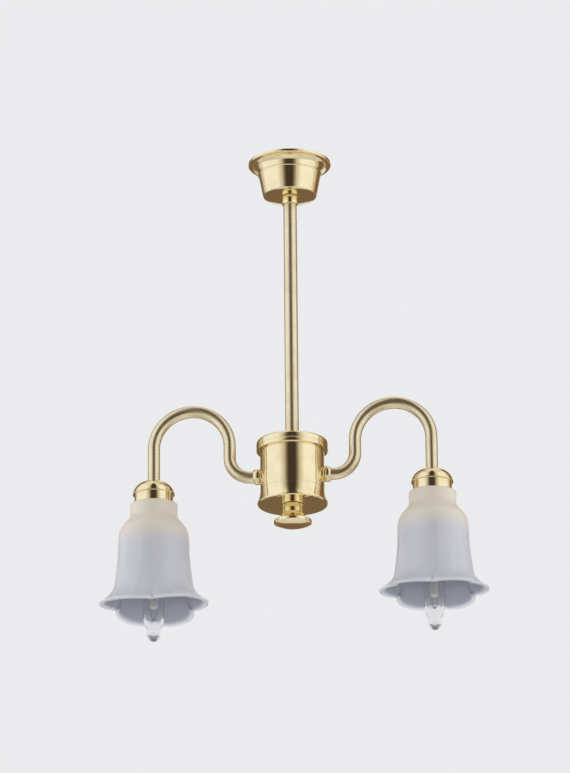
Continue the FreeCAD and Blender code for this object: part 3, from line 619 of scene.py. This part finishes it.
def ruffled_bell(name, centre_x, top, notch, saddle, sag, around=168, down=90):
    """Outer and inner skins of the bell, joined by a flat neck edge and a rounded lip.

    The attribute "inside" is 1 on the inner skin, and "rim" rises to 1 at the lip; the glass uses them for
    painted shade and a painted highlight.
    """
    line = spline(BELL, down)
    along = np.gradient(line, axis=0)
    along /= np.linalg.norm(along, axis=1)[:, None]
    inward = np.stack([-along[:, 1], along[:, 0]], axis=1)
    inward[0] = (-1, 0)
    # Each loop has its radius, its depth, the depth on the outer line and whether it is inside.
    loops = [(point[0], point[1], point[1], 0) for point in line]
    end, push, out = line[-1], inward[-1] * SHADE_WALL / 2, along[-1] * SHADE_WALL / 2
    for angle in np.linspace(0, math.pi, 9)[1:-1]:
        spot = end + push - push * math.cos(angle) + out * math.sin(angle) * RIM_FLATNESS
        loops.append((spot[0], spot[1], end[1], 0))
    for point, side in zip(line[::-1], inward[::-1]):
        inner = point + side * SHADE_WALL
        loops.append((inner[0], inner[1], point[1], 1))
    points, inside, rim = [], [], []
    for radius, depth, own, inner_side in loops:
        inside += [inner_side] * around
        rim += [min(max(1 - (end[1] - own) / RIM_HIGHLIGHT_WIDTH, 0), 1)] * around
        ripple = (max(own - RIPPLE_START, 0) / (DEPTH - RIPPLE_START)) ** RIPPLE_POWER
        spread = (own / DEPTH) ** SAG_POWER
        for step in range(around):
            angle = 2 * math.pi * step / around
            bulge = ripple * abs(math.sin(LOBES * angle / 2)) ** LOBE_POWER
            reach = (radius + LOBE_REACH * bulge) * MM
            turn = angle + math.radians(notch)
            drop = (depth + LOBE_DROP * bulge + spread * (sag - saddle * math.cos(2 * turn))) * MM
            points.append((centre_x + reach * math.cos(turn), reach * math.sin(turn), top - drop))
    faces = []
    for ring in range(len(loops)):
        here, under = ring * around, (ring + 1) % len(loops) * around
        for step in range(around):
            after = (step + 1) % around
            faces.append((here + step, under + step, under + after, here + after))
    piece = add_mesh(name, points, faces)
    for label, values in (("inside", inside), ("rim", rim)):
        piece.data.attributes.new(label, "FLOAT", "POINT").data.foreach_set("value", values)
    tree = bmesh.new()
    tree.from_mesh(piece.data)
    bmesh.ops.recalc_face_normals(tree, faces=tree.faces)
    for face in tree.faces:
        face.smooth = True
    tree.to_mesh(piece.data)
    tree.free()
    return piece


NECK_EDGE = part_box("shade_right")[1].z
FROSTED = frosted_glass(NECK_EDGE)
for side, sign in SIDES.items():
    shade = ruffled_bell(
        "shade_bell_" + side, sign * lamp_x, NECK_EDGE, NOTCH[side], SADDLE[side], SAG[side],
    )
    finished(shade, FROSTED, "shade_" + side, "lamp")

# ---------------------------------------------------------------------------------------------
# Bulbs: clear drawn glass tubes of three millimetres with a pip at the tip, each in a rolled
# brass screw cap. A warm-coloured glass bead inside holds the coiled filament.
# ---------------------------------------------------------------------------------------------


def clear_glass():
    """Drawn glass, clear but for faint smudges."""
    material = bpy.data.materials.new("clear_glass")
    material.use_nodes = True
    nodes, links = material.node_tree.nodes, material.node_tree.links
    surface = nodes["Principled BSDF"]
    surface.inputs["Transmission Weight"].default_value = 1
    surface.inputs["IOR"].default_value = 1.5
    place = nodes.new("ShaderNodeTexCoord")
    haze = nodes.new("ShaderNodeTexNoise")
    haze.inputs["Scale"].default_value = 1400
    haze.inputs["Detail"].default_value = 4
    tint = nodes.new("ShaderNodeMix")
    tint.data_type = "RGBA"
    tint.inputs["A"].default_value = (0.93, 0.94, 0.95, 1)
    tint.inputs["B"].default_value = (0.99, 0.99, 0.99, 1)
    smudge = nodes.new("ShaderNodeMapRange")
    smudge.inputs["From Min"].default_value = 0.45
    smudge.inputs["From Max"].default_value = 0.75
    smudge.inputs["To Min"].default_value = 0.02
    smudge.inputs["To Max"].default_value = 0.14
    links.new(place.outputs["Object"], haze.inputs["Vector"])
    links.new(haze.outputs["Fac"], tint.inputs["Factor"])
    links.new(haze.outputs["Fac"], smudge.inputs["Value"])
    links.new(tint.outputs["Result"], surface.inputs["Base Color"])
    links.new(smudge.outputs["Result"], surface.inputs["Roughness"])
    return material


CLEAR = clear_glass()
BEAD = soft_material("warm_bead_glass", (1.0, 0.95, 0.88), (1.0, 0.98, 0.94), 900, 0.2, 0.00001)
SOLDER = metal(
    "dull_solder", colour=(0.62, 0.62, 0.6), tarnish=(0.35, 0.34, 0.32),
    tarnish_amount=0.7, roughness=0.4, line_depth=0.2,
)
TUNGSTEN = metal(
    "filament_wire", colour=(0.32, 0.31, 0.3), tarnish=(0.14, 0.13, 0.12),
    tarnish_amount=0.5, roughness=0.35, line_depth=0.2,
)
GLASS_WALL, GLASS_NECK = 0.22, 1.14
THREAD_TURNS, THREAD_PITCH, THREAD_CREST, THREAD_ROOT = 12, 0.34, 1.36, 1.29
CAP_ROOF, GLASS_SEAT = 0.3, 1.16


def glass_outline(radius, top, tip):
    """Section of the bulb's glass: an open neck, a straight tube, and a taper that ends in a pip."""
    bore, taper, shoulder = radius - GLASS_WALL, tip + 3.4, top - 1.6
    hollow = [(GLASS_NECK - GLASS_WALL, top), (GLASS_NECK - GLASS_WALL, shoulder)]
    hollow += [(bore, shoulder - 0.25), (bore, taper + 0.05)]
    hollow += bowed((bore, taper), (0.72, tip + 1.9), 0.1, 8) + [(0.6, tip + 1.2), (0, tip + 0.9)]
    pip = [(0, tip)] + bowed((0.3, tip + 0.05), (0.95, tip + 0.95), -0.16, 8) + [(0.97, tip + 1.7)]
    tube = bowed((1.0, tip + 1.9), (radius, taper), -0.12, 8) + [(radius, shoulder)]
    return hollow + pip + tube + [(GLASS_NECK, shoulder), (GLASS_NECK, top)]


def screw_cap_outline(radius, top, bottom):
    """Section of the screw cap: a cup over the glass's neck, with a grooved skirt and a thread."""
    roof, skirt_top, groove = top - CAP_ROOF, top - 4.75, radius - 0.07
    outline = [(0, top), (0, roof), (GLASS_SEAT, roof), (GLASS_SEAT, bottom), (radius, bottom)]
    outline += [(radius, bottom + 0.25), (groove, bottom + 0.35), (radius, bottom + 0.45)]
    outline += [(radius, skirt_top), (THREAD_CREST, skirt_top)]
    for turn in range(THREAD_TURNS):
        height = skirt_top + 0.25 + turn * THREAD_PITCH
        outline += [(THREAD_CREST, height), (THREAD_ROOT, height + THREAD_PITCH / 2)]
    return outline + [(THREAD_CREST, roof), (1.2, top)]


def filament_path(centre_x, low, high):
    """The filament's middle line: two posts out of the bead and a coiled arch between them."""
    steps, coil_turns, coil_radius = 240, 14, 0.075 * MM
    post_share, coil_share = 0.02, 0.12
    reach, drop = (high.x - low.x) / 2 - 0.1 * MM, high.z - low.z - 0.1 * MM
    points = []
    for step in range(steps + 1):
        share = step / steps
        angle = math.pi * share
        height = high.z + 0.1 * MM
        if post_share < share < 1 - post_share:
            height = high.z - 0.02 * MM - drop * (0.25 + 0.72 * math.sin(angle))
        coil = coil_radius if coil_share < share < 1 - coil_share else 0
        spin = share * 2 * math.pi * coil_turns
        x = centre_x - reach * math.cos(angle)
        points.append((x, coil * math.cos(spin), height + coil * math.sin(spin)))
    return points


for side, sign in SIDES.items():
    body = "bulb_" + side
    centre = Vector((sign * lamp_x, 0, 0))
    low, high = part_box("bulb_glass_" + side)
    outline = glass_outline((high.x - low.x) / 2 / MM, high.z / MM, low.z / MM)
    glass = lathe("bulb_tube_" + side, outline, centre, segments=72, edge=0.03)
    finished(glass, CLEAR, "bulb_glass_" + side, body)

    low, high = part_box("bulb_cap_" + side)
    outline = screw_cap_outline((high.x - low.x) / 2 / MM, high.z / MM, low.z / MM)
    screw_cap = lathe("bulb_screw_cap_" + side, outline, centre, segments=72, edge=0.02)
    finished(screw_cap, BRASS, "bulb_cap_" + side, body)

    dress("bulb_contact_" + side, SOLDER)
    dress("bulb_bead_" + side, BEAD)

    low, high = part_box("filament_" + side)
    route = filament_path(centre.x, low, high)
    filament = swept("filament_coil_" + side, route, 0.035 * MM, TUNGSTEN, sides=8)
    finished(filament, TUNGSTEN, "filament_" + side, body)

# ---------------------------------------------------------------------------------------------
# Studio: a pale floor far below the hanging lamp, a pale room, a soft lamp on each side, cards
# for the polished metal to mirror, and the camera, which looks up at the lamp.
# ---------------------------------------------------------------------------------------------
FLOOR_HALF, FLOOR_Z = 4, -1.3
floor = add_mesh("floor", [
    (-FLOOR_HALF, -FLOOR_HALF, FLOOR_Z), (FLOOR_HALF, -FLOOR_HALF, FLOOR_Z),
    (FLOOR_HALF, FLOOR_HALF, FLOOR_Z), (-FLOOR_HALF, FLOOR_HALF, FLOOR_Z),
], [(0, 1, 2, 3)])
paint = bpy.data.materials.new("pale_floor")
paint.use_nodes = True
floor_surface = paint.node_tree.nodes["Principled BSDF"]
floor_surface.inputs["Base Color"].default_value = (0.88, 0.88, 0.88, 1)
floor_surface.inputs["Roughness"].default_value = 0.8
floor.data.materials.append(paint)


def from_lamp(azimuth, elevation):
    """Direction from the lamp, with azimuth 0 in front of it and 90 degrees on its right."""
    turn, tilt = math.radians(azimuth), math.radians(elevation)
    return Vector((math.sin(turn) * math.cos(tilt), -math.cos(turn) * math.cos(tilt), math.sin(tilt)))


STAGE_RADIUS = 0.6
MIDDLE = Vector((0, 0, -0.035))


def soft_lamp(name, azimuth, width, height, power):
    """A soft lamp level with the object, which lights it but isn't mirrored or seen in it."""
    light = bpy.data.lights.new(name, "AREA")
    light.shape = "RECTANGLE"
    light.size, light.size_y = width, height
    light.energy = power
    lamp = bpy.data.objects.new(name, light)
    bpy.context.scene.collection.objects.link(lamp)
    back = from_lamp(azimuth, 0)
    lamp.location = MIDDLE + back * STAGE_RADIUS
    lamp.rotation_euler = back.to_track_quat("Z", "Y").to_euler()
    lamp.visible_camera = False
    lamp.visible_glossy = False
    lamp.visible_transmission = False


soft_lamp("soft_left", -78, width=1.15, height=1.0, power=6.0)
soft_lamp("soft_right", 78, width=1.0, height=1.0, power=5.0)


def card(name, azimuth, width, middle, edge, bottom=-0.4, top=1.0):
    """A tall card round the lamp that only the polished metal shows, shaded towards its edges."""
    away = from_lamp(azimuth, 0) * STAGE_RADIUS
    along = Vector((-away.y, away.x, 0)).normalized() * width / 2
    corners = [(away - along, bottom), (away + along, bottom), (away + along, top), (away - along, top)]
    piece = add_mesh(name, [(spot.x, spot.y, z) for spot, z in corners], [(0, 1, 2, 3)])
    piece.data.attributes.new("across", "FLOAT", "POINT").data.foreach_set("value", (-0.5, 0.5, 0.5, -0.5))
    paper = bpy.data.materials.new(name)
    paper.use_nodes = True
    nodes, links = paper.node_tree.nodes, paper.node_tree.links
    surface = nodes["Principled BSDF"]
    surface.inputs["Base Color"].default_value = (0, 0, 0, 1)
    surface.inputs["Specular IOR Level"].default_value = 0
    surface.inputs["Emission Strength"].default_value = 1
    across = nodes.new("ShaderNodeAttribute")
    across.attribute_name = "across"
    outwards = nodes.new("ShaderNodeMath")
    outwards.operation = "ABSOLUTE"
    fade = nodes.new("ShaderNodeMapRange")
    fade.interpolation_type = "SMOOTHSTEP"
    fade.inputs["From Min"].default_value = 0.2
    fade.inputs["From Max"].default_value = 0.5
    blend = nodes.new("ShaderNodeMix")
    blend.data_type = "RGBA"
    blend.inputs["A"].default_value = (*middle, 1)
    blend.inputs["B"].default_value = (*edge, 1)
    links.new(across.outputs["Fac"], outwards.inputs[0])
    links.new(outwards.outputs[0], fade.inputs["Value"])
    links.new(fade.outputs["Result"], blend.inputs["Factor"])
    links.new(blend.outputs["Result"], surface.inputs["Emission Color"])
    piece.data.materials.append(paper)
    for way in ("camera", "diffuse", "transmission", "shadow"):
        setattr(piece, "visible_" + way, False)


# Two wide white cards make the bright bands, and the dark one the line down the middle.
card("white_card_left", -70.5, 1.36, middle=(0.99, 1.04, 1.2), edge=(0.62, 0.6, 0.58))
card("white_card_right", 74.5, 1.14, middle=(1.02, 1.06, 1.17), edge=(0.62, 0.6, 0.57))
card("dark_card_front", 4.5, 0.57, middle=(0.06, 0.045, 0.04), edge=(0.4, 0.36, 0.3), top=3.0)
# Brown ones behind the lamp darken the metal's outer edges, and a low one its undersides.
card("brown_card_left", -142.5, 0.5, middle=(0.2, 0.15, 0.1), edge=(0.6, 0.55, 0.45))
card("brown_card_right", 142, 0.5, middle=(0.2, 0.13, 0.07), edge=(0.6, 0.52, 0.4))
card(
    "brown_card_below", 186.5, 0.62, middle=(0.2, 0.14, 0.09), edge=(0.42, 0.34, 0.26),
    bottom=-0.5, top=-0.12,
)

# The room lights the lamp, and a paler colour takes its place for what the camera sees
# directly, in polished metal or through glass.
world = bpy.data.worlds.new("studio")
bpy.context.scene.world = world
world.use_nodes = True
nodes, links = world.node_tree.nodes, world.node_tree.links
room = nodes["Background"]
room.inputs["Color"].default_value = (0.82, 0.82, 0.84, 1)
room.inputs["Strength"].default_value = 0.9
seen = nodes.new("ShaderNodeBackground")
seen.inputs["Color"].default_value = (0.83, 0.835, 0.85, 1)
rays = nodes.new("ShaderNodeLightPath")
camera_or_gloss = nodes.new("ShaderNodeMath")
camera_or_gloss.operation = "MAXIMUM"
any_seen = nodes.new("ShaderNodeMath")
any_seen.operation = "MAXIMUM"
pick = nodes.new("ShaderNodeMixShader")
links.new(rays.outputs["Is Camera Ray"], camera_or_gloss.inputs[0])
links.new(rays.outputs["Is Glossy Ray"], camera_or_gloss.inputs[1])
links.new(camera_or_gloss.outputs[0], any_seen.inputs[0])
links.new(rays.outputs["Is Transmission Ray"], any_seen.inputs[1])
links.new(any_seen.outputs[0], pick.inputs["Fac"])
links.new(room.outputs["Background"], pick.inputs[1])
links.new(seen.outputs["Background"], pick.inputs[2])
links.new(pick.outputs["Shader"], nodes["World Output"].inputs["Surface"])

camera = bpy.data.objects.new("camera", bpy.data.cameras.new("camera"))
bpy.context.scene.collection.objects.link(camera)
camera.data.lens = 220
camera.data.sensor_width = 36
camera.data.clip_start = 0.05
back = from_lamp(6.5, -20)
distance, roll = 0.7, math.radians(0.5)
target = Vector((-0.001, 0, -0.0356))
camera.location = target + back * distance
aim = back.to_track_quat("Z", "Y").to_matrix() @ Matrix.Rotation(-roll, 3, "Z")
camera.rotation_euler = aim.to_euler()
bpy.context.scene.camera = camera
bpy.context.scene.view_settings.view_transform = "Standard"
